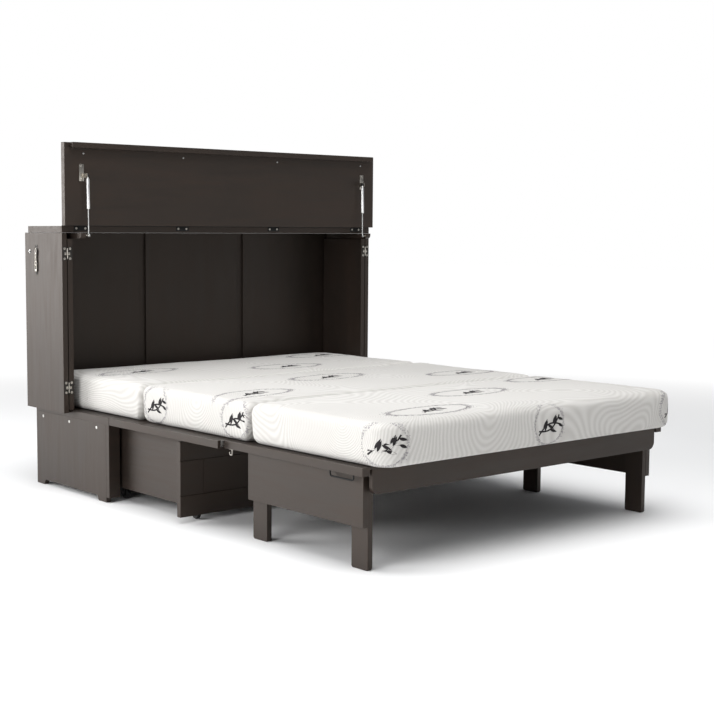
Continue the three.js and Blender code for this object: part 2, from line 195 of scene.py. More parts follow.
def settle(name, mesh, material, body, slot, *replaced, smooth=None):
    """Makes a mesh a piece that rides on a body and stands for CAD nodes."""
    if smooth:
        mesh.shade_smooth()
        mesh.set_sharp_from_angle(angle=math.radians(smooth))
    mesh.materials.clear()
    mesh.materials.append(material)
    piece = bpy.data.objects.new(name, mesh)
    bpy.context.scene.collection.objects.link(piece)
    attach(piece, body)
    if replaced:
        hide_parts(*replaced)
    return piece


# ---- materials ----------------------------------------------------------------------------


class Look:
    """One procedural material, built from short calls."""

    def __init__(self, name, **shader):
        self.material = bpy.data.materials.new(name)
        self.material.use_nodes = True
        self.tree = self.material.node_tree
        self.tree.nodes.clear()
        self.shader = self.add("ShaderNodeBsdfPrincipled", shader)
        output = self.tree.nodes.new("ShaderNodeOutputMaterial")
        self.tree.links.new(self.shader.outputs[0], output.inputs["Surface"])
        self.place = self.add("ShaderNodeTexCoord", {}).outputs["Object"]

    def add(self, kind, inputs, **settings):
        """A node, with each input linked to a socket or set to a value."""
        node = self.tree.nodes.new(kind)
        for key, value in settings.items():
            setattr(node, key, value)
        for key, value in inputs.items():
            key = key.replace("_", " ") if isinstance(key, str) else key
            if isinstance(value, bpy.types.NodeSocket):
                self.tree.links.new(value, node.inputs[key])
            else:
                node.inputs[key].default_value = value
        return node

    def drive(self, socket, value):
        """Links a value to one of the shader's own sockets."""
        self.tree.links.new(value, self.shader.inputs[socket])

    def stretched(self, scale):
        return self.add("ShaderNodeMapping", {"Vector": self.place, "Scale": scale}).outputs[0]

    def noise(self, vector, scale, detail=3.0, rough=0.5, distortion=0.0):
        return self.add("ShaderNodeTexNoise", {"Vector": vector, "Scale": scale, "Detail": detail,
                        "Roughness": rough, "Distortion": distortion}).outputs[0]

    def math(self, operation, a, b=0.0):
        return self.add("ShaderNodeMath", {0: a, 1: b}, operation=operation).outputs[0]

    def weighted(self, *shares):
        """The sum of values, each times its weight."""
        total = None
        for value, weight in shares:
            part = self.math("MULTIPLY", value, weight)
            total = part if total is None else self.math("ADD", total, part)
        return total

    def span(self, value, low, high, to_low, to_high):
        return self.add("ShaderNodeMapRange", {"Value": value, "From Min": low, "From Max": high,
                        "To Min": to_low, "To Max": to_high}).outputs[0]

    def ramp(self, value, stops):
        node = self.add("ShaderNodeValToRGB", {0: value})
        elements = node.color_ramp.elements
        while len(elements) < len(stops):
            elements.new(0.5)
        for element, (position, colour) in zip(elements, stops):
            element.position = position
            element.color = (*colour, 1)
        return node.outputs[0]

    def bump(self, height, strength, distance):
        node = self.add("ShaderNodeBump", {"Height": height, "Strength": strength, "Distance": distance})
        self.drive("Normal", node.outputs[0])


def scaled(colour, factor):
    """A colour made lighter or darker."""
    return tuple(c * factor for c in colour)


MIDTONES = (0.3, 0.7)
STAIN = (0.0145, 0.0102, 0.008)
WARM_STREAK = (1.12, 0.98, 0.88)
GRAIN = {"x": (1, 13, 13), "y": (13, 1, 13), "z": (13, 13, 1)}


def wood(name, along, tone=1.0):
    """Grey-brown stained hardwood with its grain along one axis, under a satin lacquer."""
    look = Look(name, Specular_IOR_Level=0.52, Specular_Tint=(1, 0.88, 0.79, 1))
    lengthwise = look.stretched(GRAIN[along])
    figure = look.noise(lengthwise, scale=2.6, detail=6.0, rough=0.62, distortion=0.9)
    pores = look.noise(lengthwise, scale=46.0, detail=2.0, rough=0.55)
    cloud = look.noise(look.place, scale=3.1, detail=3.0, rough=0.5, distortion=0.4)
    shade = look.weighted((figure, 0.5), (cloud, 0.34), (pores, 0.16))
    streak = tuple(c * w * tone for c, w in zip(STAIN, WARM_STREAK))
    stops = [(0.3, scaled(STAIN, 0.62 * tone)), (0.46, scaled(STAIN, 0.92 * tone)), (0.56, streak),
             (0.72, scaled(STAIN, 1.45 * tone))]
    look.drive("Base Color", look.ramp(shade, stops))
    look.drive("Roughness", look.span(figure, *MIDTONES, 0.4, 0.54))
    look.bump(look.weighted((figure, 0.4), (pores, 0.6)), strength=0.18, distance=mm(0.5))
    return look.material


def metal(name, colour, rough, wear):
    """Plated or drawn metal, smeared by handling: wear is how much darker the smears are."""
    look = Look(name, Metallic=1.0)
    smear = look.noise(look.place, scale=60.0, detail=4.0, rough=0.6, distortion=0.3)
    fine = look.noise(look.place, scale=900.0, detail=2.0)
    look.drive("Base Color", look.ramp(smear, [(0.3, scaled(colour, 1 - wear)), (0.7, colour)]))
    look.drive("Roughness", look.span(smear, *MIDTONES, rough * 0.8, rough * 1.25))
    look.bump(fine, strength=0.06, distance=mm(0.1))
    return look.material


def enamel(name, colour, rough):
    """Paint, plastic or rubber with a fine orange peel and paler, duller dusty patches."""
    look = Look(name, Specular_IOR_Level=0.22)
    peel = look.noise(look.place, scale=380.0, detail=2.0, rough=0.6)
    dust = look.noise(look.place, scale=35.0, detail=4.0, rough=0.6)
    look.drive("Base Color", look.ramp(dust, [(0.35, colour), (0.75, scaled(colour, 1.9))]))
    look.drive("Roughness", look.span(dust, *MIDTONES, rough, rough * 1.3))
    look.bump(peel, strength=0.12, distance=mm(0.15))
    return look.material


RIB_FREQUENCY, RIB_SWAY = 430.0, 40.0


def knit():
    """White jersey with rows of raised ribs that curve round scattered centres."""
    look = Look("knit_cover", Sheen_Weight=0.25, Sheen_Roughness=0.5, Specular_IOR_Level=0.2)
    sway = look.noise(look.place, scale=2.3, detail=2.0, rough=0.5)
    rings = look.add("ShaderNodeTexVoronoi", {"Vector": look.place, "Scale": 1.9, "Smoothness": 0.7},
                     feature="SMOOTH_F1").outputs["Distance"]
    phase = look.weighted((rings, RIB_FREQUENCY), (sway, RIB_SWAY))
    rib = look.span(look.math("SINE", phase), -1.0, 1.0, 0.0, 1.0)
    loops = look.noise(look.place, scale=420.0, detail=2.0, rough=0.6)
    cloud = look.noise(look.place, scale=5.0, detail=3.0)
    tint = look.weighted((rib, 0.55), (loops, 0.25), (cloud, 0.2))
    stops = [(0.15, (0.51, 0.493, 0.467)), (0.5, (0.57, 0.555, 0.53)), (0.85, (0.62, 0.605, 0.58))]
    look.drive("Base Color", look.ramp(tint, stops))
    look.drive("Roughness", look.span(loops, *MIDTONES, 0.82, 0.95))
    look.bump(look.math("ADD", rib, look.math("MULTIPLY", loops, 0.5)), strength=0.5, distance=mm(1.6))
    return look.material


def ink(name, colour):
    """Dye printed on the knit: the threads show through it."""
    look = Look(name, Specular_IOR_Level=0.15)
    threads = look.noise(look.place, scale=520.0, detail=3.0, rough=0.65)
    look.drive("Base Color", look.ramp(threads, [(0.4, colour), (0.72, scaled(colour, 2.2))]))
    look.drive("Roughness", look.span(threads, *MIDTONES, 0.8, 0.95))
    look.bump(threads, strength=0.3, distance=mm(0.3))
    return look.material


FLOOR_LIT, FLOOR_WHITE = 2.6, 5.2


def pale_floor():
    """White paper that glows towards its rim, so that it runs into the white background."""
    look = Look("studio_floor", Roughness=0.8, Specular_IOR_Level=0.1, Emission_Color=(1, 1, 1, 1))
    reach = look.add("ShaderNodeVectorMath", {0: look.place}, operation="LENGTH").outputs["Value"]
    paper = look.span(reach, FLOOR_LIT, FLOOR_WHITE, 0.93, 0.0)
    look.drive("Base Color", paper)
    look.drive("Emission Strength", look.span(reach, FLOOR_LIT, FLOOR_WHITE, 0.0, 1.0))
    return look.material


WOOD = {axis: wood(f"wood_along_{axis}", axis) for axis in "xyz"}
# A darker copy of each wood (tone 0.72) for the inner boards: painted shade for the cabinet's shadowed
# inside.
INSIDE_PAINTED_SHADE = {axis: wood(f"wood_painted_shade_along_{axis}", axis, tone=0.72) for axis in "xz"}
NICKEL = metal("nickel_plate", (0.52, 0.49, 0.44), rough=0.3, wear=0.35)
SILVER = metal("satin_silver", (0.88, 0.88, 0.87), rough=0.34, wear=0.06)
STEEL = metal("drawn_steel", (0.5, 0.5, 0.49), rough=0.3, wear=0.3)
DARK_STEEL = metal("dark_steel", (0.075, 0.07, 0.065), rough=0.42, wear=0.4)
BLACK = enamel("black_enamel", (0.009, 0.009, 0.009), rough=0.6)
TYRE = enamel("caster_rubber", (0.014, 0.014, 0.014), rough=0.6)
CAP = enamel("screw_cap", (0.42, 0.41, 0.39), rough=0.4)
KNIT = knit()
DARK_INK = ink("dark_print", (0.018, 0.016, 0.017))
PALE_INK = ink("pale_print", (0.24, 0.23, 0.235))

# ---- wood boards --------------------------------------------------------------------------

BOARD_EDGE = mm(0.9)
GROOVE_EDGE = mm(0.7)
WELD = mm(0.02)
FLAT, SHARP = math.radians(1), math.radians(25)
BOARDS = {
    "x": ["top_slab", "flap_panel", "flap_lip", "foot_rail", "face_frame", "platform_panel", "drawer_front",
          "drawer_back", "drawer_bottom"],
    "y": ["head_rail_left", "head_rail_right", "platform_rail_left", "platform_rail_right",
          "foot_platform_rail_left", "foot_platform_rail_right", "apron_left", "apron_right",
          "drawer_side_left", "drawer_side_right", "strut_block_left", "strut_block_right"],
    "z": ["base_side_left", "base_side_right", "side_panel_left", "side_panel_right", "wing_left",
          "wing_right", "leg_front_left", "leg_front_right", "leg_rear_left", "leg_rear_right"],
}
# These inner boards take the darker wood, which is painted shade.
PAINTED_SHADE_BOARDS = {"x": ["base_back", "head_deck", "foot_platform_deck"], "z": ["back_wall"]}
GROOVED = ("back_wall", "platform_panel", "drawer_front")


def eased_board(node, material, slot):
    """A copy of a CAD board with its flat faces whole again and its edges eased."""
    mesh = bmesh.new()
    mesh.from_mesh(nodes[node].data)
    bmesh.ops.remove_doubles(mesh, verts=mesh.verts, dist=WELD)
    bmesh.ops.dissolve_limit(mesh, angle_limit=FLAT, verts=mesh.verts, edges=mesh.edges)
    sharp = [e for e in mesh.edges if e.calc_face_angle(0) > SHARP]
    width = GROOVE_EDGE if node in GROOVED else BOARD_EDGE
    bmesh.ops.bevel(mesh, geom=sharp, offset=width, segments=2, affect="EDGES", profile=ROUND_BEVEL,
                    clamp_overlap=True)
    data = bpy.data.meshes.new(node + "_board")
    mesh.to_mesh(data)
    mesh.free()
    settle(node + "_board", data, material, nodes[node]["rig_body"], slot, node)


for axis, names in BOARDS.items():
    for node in names:
        eased_board(node, WOOD[axis], "wood_panel")
for axis, names in PAINTED_SHADE_BOARDS.items():
    for node in names:
        eased_board(node, INSIDE_PAINTED_SHADE[axis], "wood_inside")

# ---- wing hinges --------------------------------------------------------------------------

LEAF_THICK = mm(0.5)
LEAF_EDGE = mm(0.3)
LEAF_MARGIN = mm(1.5)
LEAF_REACH = mm(20)
LEAF_OVERRUN = mm(7)
LEAF_LIFT = mm(0.15)
WAIST_HALF_HEIGHT = mm(6)
KNUCKLE_RADIUS = mm(2.3)
KNUCKLE_GAP = mm(0.3)
PIVOT_PROUD = mm(1.6)
SCREW_RISE = mm(20)


def hinge_leaf(name, inner, outer, face_y, low, high, body, *replaced):
    """One dark hinge leaf on a board's front edge, with a bright screw near each end."""
    leaf = Shape()
    leaf.block((inner, face_y, low), (outer, face_y - LEAF_THICK, high), LEAF_EDGE)
    leaf.piece(f"{name}_leaf", DARK_STEEL, body, "nickel", *replaced)
    screws = Shape()
    for rise in (-SCREW_RISE, SCREW_RISE):
        spot = Vector(((inner + outer) / 2, face_y - LEAF_THICK, (low + high) / 2 + rise))
        screws.screw(spot, -Y, radius=mm(5.4), proud=mm(0.6))
    waist = Vector(((inner * 3 + outer) / 4, face_y - LEAF_THICK / 2, (low + high) / 2))
    reach = Vector((abs(outer - inner) / 4, LEAF_THICK, WAIST_HALF_HEIGHT))
    screws.block(waist - reach, waist + reach, LEAF_EDGE)
    screws.piece(f"{name}_screws", NICKEL, body, "nickel")


def knuckle(name, axis, spans, body):
    """Bright hinge barrels round an upright axis, one for each span of height."""
    shape = Shape()
    for low, high in spans:
        shape.pin(0, high - low, KNUCKLE_RADIUS, Vector((*axis, low)), Z, 20)
    shape.piece(f"{name}_knuckle", NICKEL, body, "nickel")


for word, side in SIDES:
    panel_low, panel_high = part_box(f"side_panel_{word}")
    wing_low, wing_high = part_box(f"wing_{word}")
    panel_inner = panel_high.x if side < 0 else panel_low.x
    wing_outer = wing_low.x if side < 0 else wing_high.x
    pivot = ((panel_inner + wing_outer) / 2, panel_low.y - PIVOT_PROUD)
    face_y = panel_low.y - LEAF_LIFT
    for number in (1, 2):
        node = f"wing_hinge_{word}_{number}"
        low, high = (corner.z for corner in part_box(node))
        third = (high - low) / 3
        ends = ((low, low + third), (high - third, high))
        between = ((low + third + KNUCKLE_GAP, high - third - KNUCKLE_GAP),)
        hinge_leaf(f"{node}_fixed", panel_inner + side * LEAF_MARGIN, panel_inner + side * LEAF_REACH,
                   face_y, low - LEAF_OVERRUN, high + LEAF_OVERRUN, "cabinet", node)
        knuckle(f"{node}_fixed", pivot, ends, "cabinet")
        hinge_leaf(f"{node}_moving", wing_outer - side * LEAF_MARGIN, wing_outer - side * LEAF_REACH,
                   face_y, low - LEAF_OVERRUN, high + LEAF_OVERRUN, f"wing_{word}")
        knuckle(f"{node}_moving", pivot, between, f"wing_{word}")

# ---- flap hinges, painted-shade strip in the slab gap, and lip screws ---------------------

FLAP_HINGES = (-mm(750), -mm(250), mm(250), mm(750))
FLAP_SCREWS = (-mm(750), -mm(262), mm(250), mm(755))
FLAP_SCREW_DROP = mm(42)
FLAP_LEAF_HALF = mm(33)
SLAB_LEAF_DROP = mm(19)
SLAB_SCREW_DROP = mm(9)
UNDER_LEAF_THICK = mm(0.4)
UNDER_LEAF_INSET = mm(4)
FLAP_PIN_RADIUS = mm(1.3)
FLAP_PIN_LENGTH = mm(22)
FLAP_PIN_DROP = mm(1.5)
SEAL_END_GAP = mm(2)

slab_low, slab_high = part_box("top_slab")
flap_low, flap_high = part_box("flap_panel")
slab_face = slab_low.y
for number, centre in enumerate(FLAP_HINGES, 1):
    start, end = centre - FLAP_LEAF_HALF, centre + FLAP_LEAF_HALF
    fixed = Shape()
    fixed.block((start, slab_face, slab_high.z - SLAB_LEAF_DROP), (end, slab_face - LEAF_THICK, slab_high.z))
    fixed.piece(f"flap_hinge_{number}_slab_leaf", BLACK, "cabinet", "black_metal")
    heads = Shape()
    for offset in (-mm(21), mm(21)):
        spot = Vector((centre + offset, slab_face - LEAF_THICK, slab_high.z - SLAB_SCREW_DROP))
        heads.screw(spot, -Y, radius=mm(4.8), proud=mm(0.45))
    heads.piece(f"flap_hinge_{number}_screws", NICKEL, "cabinet", "nickel")
    moving = Shape()
    moving.block((start, flap_high.y, flap_low.z),
                 (end, flap_low.y + UNDER_LEAF_INSET, flap_low.z - UNDER_LEAF_THICK))
    pin_end = Vector((centre - FLAP_PIN_LENGTH / 2, flap_high.y, flap_low.z - FLAP_PIN_DROP))
    moving.pin(0, FLAP_PIN_LENGTH, FLAP_PIN_RADIUS, pin_end, X, 16)
    moving.piece(f"flap_hinge_{number}_flap_leaf", BLACK, "flap", "black_metal")

# A dark strip in the gap between the slab top and the flap: painted shade, which stops light showing through
# the gap.
gap_shade = Shape()
gap_shade.block((slab_low.x + SEAL_END_GAP, slab_low.y + mm(0.5), slab_high.z),
           (slab_high.x - SEAL_END_GAP, slab_low.y + mm(3.5), slab_high.z + mm(3)), mm(0.5))
gap_shade.piece("slab_gap_painted_shade_strip", TYRE, "cabinet", "black_metal")

lip_screws = Shape()
for centre in FLAP_SCREWS:
    lip_screws.screw(Vector((centre, flap_low.y, flap_high.z - FLAP_SCREW_DROP)), -Y, radius=mm(4))
lip_screws.piece("flap_lip_screws", STEEL, "flap", "nickel")

# ---- gas struts ---------------------------------------------------------------------------

# Profiles are (distance from the eye, radius).
EYE_PROFILE = [(-mm(4.4), 0), (-mm(4.4), mm(5)), (-mm(3), mm(6.4)), (mm(3), mm(6.4)), (mm(4.4), mm(5)),
               (mm(4.4), 0)]
BARREL = mm(122)
BARREL_PROFILE = [(mm(11), 0), (mm(11), mm(4.5)), (mm(12.5), mm(6.4)), (mm(15), mm(7)),
                  (BARREL + mm(8), mm(7)), (BARREL + mm(11), mm(6.3)), (BARREL + mm(12.5), mm(4.2)),
                  (BARREL + mm(12.5), 0)]
EYE_INSET = mm(6.5)
EYE_SETBACK = mm(8)
NECK_LENGTH, NECK_RADIUS = mm(11.5), mm(3.6)
ROD_RADIUS = mm(3)
FERRULE_START, FERRULE_END = mm(12), mm(4)
BRACKET_THICK = mm(2.6)
BRACKET_EAR_HALF = mm(9)
BRACKET_SCREWS = (mm(8), mm(60))
BRACKET_SCREW_SHIFT = mm(2)
STUD_RADIUS = mm(2.6)
STUD_FLANGE_RADIUS, STUD_FLANGE_THICK = mm(7), mm(1.6)
STUD_CLEARANCE = mm(5)

for word, side in SIDES:
    tube_low, tube_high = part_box(f"strut_cylinder_{word}")
    rod_low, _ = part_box(f"strut_rod_{word}")
    x = (tube_low.x + tube_high.x) / 2
    top = Vector((x, tube_high.y - EYE_SETBACK, tube_high.z - EYE_INSET))
    foot = Vector((x, rod_low.y + EYE_INSET, rod_low.z + EYE_INSET))
    down = (foot - top).normalized()
    length = (foot - top).length

    cylinder = Shape()
    cylinder.turned(BARREL_PROFILE, top, down, 36)
    cylinder.pin(0, NECK_LENGTH, NECK_RADIUS, top, down, 20)
    cylinder.piece(f"strut_cylinder_{word}_tube", SILVER, f"strut_cylinder_{word}", "nickel",
                   f"strut_cylinder_{word}")
    socket = Shape()
    socket.turned(EYE_PROFILE, top, X, 24)
    socket.piece(f"strut_cylinder_{word}_socket", BLACK, f"strut_cylinder_{word}", "black_metal")

    rod = Shape()
    rod.pin(BARREL + mm(4), length - mm(8), ROD_RADIUS, top, down, 24)
    rod.turned([(length - FERRULE_START, 0), (length - FERRULE_START, mm(4.2)),
                (length - FERRULE_END, mm(4.6)), (length - FERRULE_END, 0)], top, down, 20)
    rod.turned(EYE_PROFILE, foot, X, 24)
    rod.piece(f"strut_rod_{word}_shaft", STEEL, f"strut_rod_{word}", "black_metal", f"strut_rod_{word}")

    bracket_low, bracket_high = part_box(f"strut_bracket_{word}")
    back, front = bracket_high.y, bracket_high.y - BRACKET_THICK
    inner = bracket_low.x if side > 0 else bracket_high.x
    outer = bracket_high.x if side > 0 else bracket_low.x
    plate = Shape()
    plate.block((inner, back, bracket_low.z), (outer, front, bracket_high.z))
    plate.block((inner, back, top.z - BRACKET_EAR_HALF),
                (inner + side * BRACKET_THICK, top.y - mm(7), top.z + BRACKET_EAR_HALF))
    for rise in BRACKET_SCREWS:
        spot = Vector(((inner + outer) / 2 + side * BRACKET_SCREW_SHIFT, front, bracket_low.z + rise))
        plate.screw(spot, -Y, radius=mm(3.6))
    plate.pin(-mm(5), mm(1), mm(2.6), Vector((inner, top.y, top.z)), X * side, 18)
    plate.piece(f"strut_bracket_{word}_plate", NICKEL, "flap", "nickel", f"strut_bracket_{word}")

    block_low, block_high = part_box(f"strut_block_{word}")
    block_face = block_high.x if side < 0 else block_low.x
    gap = abs(block_face - foot.x) - STUD_CLEARANCE
    stud = Shape()
    stud.turned([(0, 0), (0, STUD_FLANGE_RADIUS), (STUD_FLANGE_THICK, STUD_FLANGE_RADIUS),
                 (STUD_FLANGE_THICK, STUD_RADIUS), (gap, STUD_RADIUS), (gap, 0)],
                Vector((block_face, foot.y, foot.z)), -X * side, 20)
    stud.piece(f"strut_stud_{word}", NICKEL, "cabinet", "nickel")

# ---- side latches -------------------------------------------------------------------------

PLATE_THICK = mm(1.4)
PLATE_NARROWING = mm(5)
PLATE_SCREWS = (mm(7), mm(116))
LEVER_LIFT, LEVER_THICK = mm(3.2), mm(3.6)
# Legs are (outer half width, inner half width, bottom, top) and bridges are (bottom, top, half
# width), with heights above the lever's lower end.
LEVER_LEGS = ((mm(7.6), mm(4.6), mm(4), mm(40)), (mm(5.2), mm(2.6), mm(40), mm(74)))
LEVER_BRIDGES = ((0, mm(10), mm(8.4)), (mm(24), mm(29), mm(7.6)), (mm(38), mm(44), mm(7.6)),
                 (mm(58), mm(62), mm(5.2)), (mm(72), mm(78), mm(6.4)))
LOOP_HALF, LOOP_HEIGHT, LOOP_DROP, LOOP_WIRE = mm(6), mm(19), mm(21), mm(1.6)
LOOP_STEPS = 12
STOP_NEAR, STOP_FAR, STOP_PROUD = mm(8.6), mm(12), mm(4.6)
KEEPER_OFFSET, KEEPER_DROP = mm(58), mm(28)
KEEPER_BUTTON = [(0, 0), (0, mm(2)), (mm(4), mm(2)), (mm(4.6), mm(3)), (mm(6), mm(3)), (mm(6.4), mm(2)),
                 (mm(6.4), 0)]

for word, side in SIDES:
    plate_low, plate_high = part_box(f"latch_plate_{word}")
    lever_low, lever_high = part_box(f"latch_lever_{word}")
    face = plate_low.x if side > 0 else plate_high.x
    plate_face = face + side * PLATE_THICK
    middle_y = (plate_low.y + plate_high.y) / 2
    plate = Shape()
    plate.block((face, plate_low.y + PLATE_NARROWING, plate_low.z),
                (plate_face, plate_high.y - PLATE_NARROWING, plate_high.z))
    for rise in PLATE_SCREWS:
        plate.screw(Vector((plate_face, middle_y, plate_low.z + rise)), X * side, radius=mm(3.2))
    plate.piece(f"latch_plate_{word}_base", DARK_STEEL, "cabinet", "nickel", f"latch_plate_{word}")

    base = face + side * LEVER_LIFT
    lever_face = base + side * LEVER_THICK
    lever = Shape()
    for edge in (-1, 1):
        for outside, inside, low, high in LEVER_LEGS:
            lever.block((base, middle_y + edge * outside, lever_low.z + low),
                        (lever_face, middle_y + edge * inside, lever_low.z + high), mm(0.8))
    for low, high, half in LEVER_BRIDGES:
        lever.block((base, middle_y - half, lever_low.z + low),
                    (lever_face, middle_y + half, lever_low.z + high), mm(1))
    loop_points = []
    for step in range(LOOP_STEPS + 1):
        turn = math.pi * step / LOOP_STEPS
        loop_points.append(Vector((base + side * mm(2), middle_y - LOOP_HALF * math.cos(turn),
                                   lever_high.z - LOOP_DROP + LOOP_HEIGHT * math.sin(turn))))
    lever.tube(loop_points, LOOP_WIRE, 10)
    lever.piece(f"latch_lever_{word}_frame", NICKEL, f"latch_lever_{word}", "nickel", f"latch_lever_{word}")

    stop = Shape()
    stop.block((plate_face, middle_y - STOP_FAR, lever_high.z - mm(30)),
               (face + side * STOP_PROUD, middle_y - STOP_NEAR, lever_high.z - mm(8)), mm(1))
    stop.piece(f"latch_stop_{word}", BLACK, "cabinet", "black_metal")

    keeper = Shape()
    spot = Vector((face, middle_y + KEEPER_OFFSET, plate_high.z - KEEPER_DROP))
    keeper.block(spot - Y * mm(4) - Z * mm(8), spot + X * side * mm(1.2) + Y * mm(4) + Z * mm(8))
    keeper.turned(KEEPER_BUTTON, spot, X * side, 20)
    keeper.piece(f"latch_keeper_{word}", STEEL, "cabinet", "nickel")

# ---- base screw caps ----------------------------------------------------------------------

CAP_INSETS = (mm(59), mm(276), mm(491))
CAP_DROP = mm(19)
CAP_PROFILE = [(-mm(1), 0), (-mm(1), mm(6)), (mm(0.5), mm(6)), (mm(1.3), mm(4.6)), (mm(1.5), 0)]

for word, side in SIDES:
    low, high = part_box(f"base_side_{word}")
    face = low.x if side < 0 else high.x
    caps = Shape()
    for inset in CAP_INSETS:
        caps.turned(CAP_PROFILE, Vector((face, high.y - inset, high.z - CAP_DROP)), X * side, 24)
    caps.piece(f"base_screw_caps_{word}", CAP, "cabinet", "nickel")

# ---- handles ------------------------------------------------------------------------------

HANDLE_WIRE = mm(2.8)
HANDLE_BEND = mm(9)
HANDLE_FOOT = [(0, 0), (0, mm(5.4)), (mm(1.6), mm(5)), (mm(1.8), 0)]


def rounded_path(corners, bend, steps=8):
    """Points along straight runs with a round bend at each inner corner."""
    points = [corners[0]]
    for before, corner, after in zip(corners, corners[1:], corners[2:]):
        start = corner + (before - corner).normalized() * bend
        end = corner + (after - corner).normalized() * bend
        for i in range(steps + 1):
            t = i / steps
            points.append(start * (1 - t) ** 2 + corner * 2 * t * (1 - t) + end * t * t)
    return points + [corners[-1]]


for word, side in SIDES:
    low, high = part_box(f"handle_{word}")
    x = (low.x + high.x) / 2
    front, rear, bottom = low.y + HANDLE_WIRE, high.y - HANDLE_WIRE, low.z + HANDLE_WIRE
    corners = [Vector((x, front, high.z)), Vector((x, front, bottom)), Vector((x, rear, bottom)),
               Vector((x, rear, high.z))]
    grip = Shape()
    grip.tube(rounded_path(corners, HANDLE_BEND), HANDLE_WIRE)
    for corner in (corners[0], corners[-1]):
        grip.turned(HANDLE_FOOT, corner, -Z, 20)
    grip.piece(f"handle_{word}_wire", BLACK, "foot_platform", "black_metal", f"handle_{word}")

# ---- platform hinges and catches ----------------------------------------------------------

EDGE_LEAF_HALF = mm(9)
EDGE_LEAF_THICK = mm(0.7)
EDGE_LEAF_TOP, EDGE_LEAF_BOTTOM = mm(2), mm(24)
EDGE_PIN = mm(0.9)
FOOT_HINGE_SHIFT = mm(6)
CATCH_INSET, CATCH_SETBACK = mm(9), mm(36)
CATCH_PAD = Vector((mm(5), mm(12), 0))
CATCH_PAD_THICK = mm(2)
HOOK_DROP, HOOK_REACH, HOOK_TIP = mm(22), mm(14), mm(12)
HOOK_BEND, HOOK_WIRE = mm(5), mm(2)


def edge_hinge(name, x, gap_rear, gap_front, top, rear_body, front_body):
    """A butt hinge let into the narrow gap between two platform rails."""
    middle = (gap_rear + gap_front) / 2
    half = EDGE_LEAF_HALF
    for part, face, body in (("rear", gap_rear, rear_body), ("front", gap_front, front_body)):
        leaf = Shape()
        toward = math.copysign(EDGE_LEAF_THICK, middle - face)
        leaf.block((x - half, face, top - EDGE_LEAF_BOTTOM), (x + half, face + toward, top - EDGE_LEAF_TOP),
                   mm(0.2))
        if part == "rear":
            leaf.pin(-half, half, EDGE_PIN, Vector((x, middle, top - EDGE_PIN)), X, 12)
        leaf.piece(f"{name}_{part}_leaf", STEEL, body, "nickel")


for word, side in SIDES:
    head_low, head_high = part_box(f"head_rail_{word}")
    mid_low, mid_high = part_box(f"platform_rail_{word}")
    foot_low, foot_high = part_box(f"foot_platform_rail_{word}")
    mid_x = (mid_low.x + mid_high.x) / 2
    edge_hinge(f"platform_hinge_{word}", mid_x, head_low.y, mid_high.y, head_high.z, "cabinet", "platform")
    edge_hinge(f"foot_hinge_{word}", mid_x - side * FOOT_HINGE_SHIFT, mid_low.y, foot_high.y, mid_high.z,
               "platform", "foot_platform")
    catch = Shape()
    outer = foot_low.x if side < 0 else foot_high.x
    base = Vector((outer - side * CATCH_INSET, foot_high.y - CATCH_SETBACK, foot_low.z))
    catch.block(base - CATCH_PAD, base + CATCH_PAD - Z * CATCH_PAD_THICK)
    hook = [base, base - Z * HOOK_DROP, base - Z * HOOK_DROP + Y * HOOK_REACH,
            base - Z * HOOK_TIP + Y * HOOK_REACH]
    catch.tube(rounded_path(hook, HOOK_BEND), HOOK_WIRE, 12)
    catch.piece(f"platform_catch_{word}", NICKEL, "foot_platform", "nickel")

# ---- casters ------------------------------------------------------------------------------

RAIL_BOTTOM = mm(46)
FORK_GAP, FORK_HALF_THICK = mm(2), mm(1)
FORK_HALF_DEPTH, FORK_DROP = mm(9), mm(7)
AXLE_CAP = [(0, 0), (0, mm(4.5)), (mm(1.8), mm(4)), (mm(1.8), 0)]
BORE, HUB, WEB = mm(3.3), mm(6), mm(7.5)
WEB_DEPTH, TREAD_SHOULDER, TREAD_ROUND = mm(1.2), mm(0.4), mm(2.4)


def wheel_profile(half, radius):
    """A caster wheel's outline, (distance from its middle, radius): one half, then its mirror image."""
    outline = [(half, BORE), (half, HUB), (half - WEB_DEPTH, WEB), (half - WEB_DEPTH, radius - mm(6)),
               (half, radius - mm(4)), (half - TREAD_SHOULDER, radius - mm(1.4)),
               (half - TREAD_ROUND, radius)]
    return [(-along, reach) for along, reach in outline] + outline[::-1]


for end in ("front", "rear"):
    bar_low, bar_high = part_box(f"caster_bar_{end}")
    bar = Shape()
    bar.block((bar_low.x, bar_low.y, RAIL_BOTTOM), (bar_high.x, bar_high.y, bar_high.z), mm(1.5))
    for word, side in SIDES:
        wheel_low, wheel_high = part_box(f"wheel_{end}_{word}")
        centre = (wheel_low + wheel_high) / 2
        half = (wheel_high.x - wheel_low.x) / 2
        radius = centre.z
        for hand in (-1, 1):
            x = centre.x + hand * (half + FORK_GAP)
            bar.block((x - FORK_HALF_THICK, centre.y - FORK_HALF_DEPTH, centre.z - FORK_DROP),
                      (x + FORK_HALF_THICK, centre.y + FORK_HALF_DEPTH, RAIL_BOTTOM + mm(1)))
            cap_spot = Vector((x + hand * FORK_HALF_THICK, centre.y, centre.z))
            bar.turned(AXLE_CAP, cap_spot, X * hand, 18)
        wheel = Shape()
        wheel.turned(wheel_profile(half, radius), centre, X, 40)
        wheel.piece(f"wheel_{end}_{word}_tyre", TYRE, f"wheel_{end}_{word}", "caster", f"wheel_{end}_{word}")
    bar.piece(f"caster_bar_{end}_channel", BLACK, "drawer", "black_metal", f"caster_bar_{end}")

# ---- mattress -----------------------------------------------------------------------------

VOXEL = mm(13)
PRESSURE = 4.0
FRAMES = 20
SWELL_CAP = mm(5)
RIM_ROUND = mm(26)
COVER_SHRINK = Vector((mm(5), 0, mm(11)))
SEAM_OPENING = mm(17)
CROWN = mm(4)
WAVE = mm(1.1)
DOTS_PER_METRE = 3200
PRINT_PROUD = mm(0.6)
PRINT_RAY, PRINT_REACH = mm(60), mm(50)


